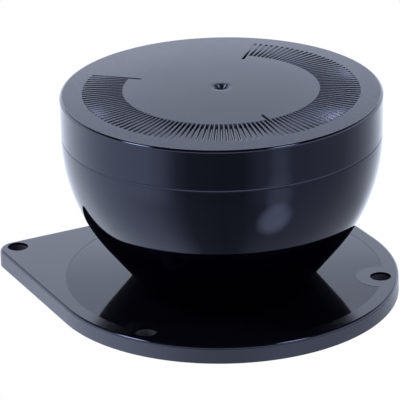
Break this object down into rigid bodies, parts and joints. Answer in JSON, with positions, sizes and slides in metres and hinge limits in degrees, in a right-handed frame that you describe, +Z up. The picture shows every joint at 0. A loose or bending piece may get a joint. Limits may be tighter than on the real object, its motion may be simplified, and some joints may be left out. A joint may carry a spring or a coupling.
{
  "type": "lidar scanner module",
  "caption": "Compact rotating-mirror lidar scanner: a bowl-shaped infrared window under a crowned cap, standing on a D-shaped flange with mounting holes.",
  "frame": {"origin": "on the scan axis, at the flange's underside", "axes": "+Z up along the scan axis, the scan's 0 degree direction towards -Y, +X to the right seen from behind"},
  "size_m": [0.15, 0.1504, 0.0925],
  "materials": {
    "flange_black": "fine spark-eroded grain, polished inside a circle under the head",
    "window_black": "polished, infrared-transmitting, looks black",
    "cap_black": "polished band and rim, finely grained top",
    "seal_rubber": "matte",
    "gasket_rubber": "matte",
    "screw_steel": "turned",
    "cover_black": "fine grain",
    "plated_brass": "nickel-plated",
    "insert_plastic": "moulded",
    "gold_contacts": "gold-plated",
    "board_green": "solder mask",
    "vent_plastic": "moulded",
    "label_foil": "satin foil",
    "cast_aluminium": "die-cast, blasted",
    "chip_plastic": "moulded",
    "capacitor_can": "drawn can",
    "socket_plastic": "moulded",
    "flex_film": "polyimide film",
    "lens_glass": "coated",
    "barrel_black": "light-absorbing",
    "target_grey": "matte",
    "lamination_steel": "laminated",
    "copper_wire": "enamelled copper",
    "bearing_steel": "ground",
    "spring_steel": "blued",
    "turned_aluminium": "turned",
    "magnet_grey": "sintered, coated",
    "encoder_metal": "etched sheet",
    "carrier_black": "black anodised",
    "mirror_coating": "front-coated"
  },
  "bodies": {
    "housing": {"flange_plate": "flange_black", "scan_window": "window_black", "top_cap": "cap_black", "foot_seal": "seal_rubber", "cap_seal": "seal_rubber", "hood_screws": "screw_steel", "base_cover": "cover_black", "cover_gasket": "gasket_rubber", "cover_screws": "screw_steel", "chassis_screws": "screw_steel", "connector_shell": "plated_brass", "connector_insert": "insert_plastic", "contact_pins": "gold_contacts", "connector_board": "board_green", "vent_plug": "vent_plastic", "type_label": "label_foil", "chassis_base": "cast_aluminium", "chassis_column": "cast_aluminium", "motor_deck": "cast_aluminium", "column_screws": "screw_steel", "deck_screws": "screw_steel", "board_spacers": "plated_brass", "main_board": "board_green", "board_chips": "chip_plastic", "board_capacitors": "capacitor_can", "flex_sockets": "socket_plastic", "flex_cable": "flex_film", "receiver_lens": "lens_glass", "lens_retainer": "barrel_black", "emitter_tube": "barrel_black", "collimator_lens": "lens_glass", "laser_diode": "gold_contacts", "laser_board": "board_green", "detector_diode": "capacitor_can", "detector_board": "board_green", "light_baffle": "barrel_black", "reference_target": "target_grey", "encoder_sensor": "chip_plastic", "motor_board": "board_green", "stator_core": "lamination_steel", "stator_windings": "copper_wire", "bearing_outer_rings": "bearing_steel", "bearing_balls": "bearing_steel", "wave_washer": "bearing_steel"},
    "rotor": {"motor_shaft": "bearing_steel", "bearing_inner_rings": "bearing_steel", "retaining_clip": "spring_steel", "rotor_bell": "turned_aluminium", "rotor_magnets": "magnet_grey", "encoder_disc": "encoder_metal", "mirror_carrier": "carrier_black", "scan_mirror": "mirror_coating", "carrier_screws": "screw_steel", "balance_weights": "plated_brass"}
  },
  "joints": [
    {"name": "scan_spin", "type": "hinge", "parent": "housing", "child": "rotor", "pos_m": [0, 0, 0.078], "axis": [0, 0, 1], "continuous": true}
  ]
}
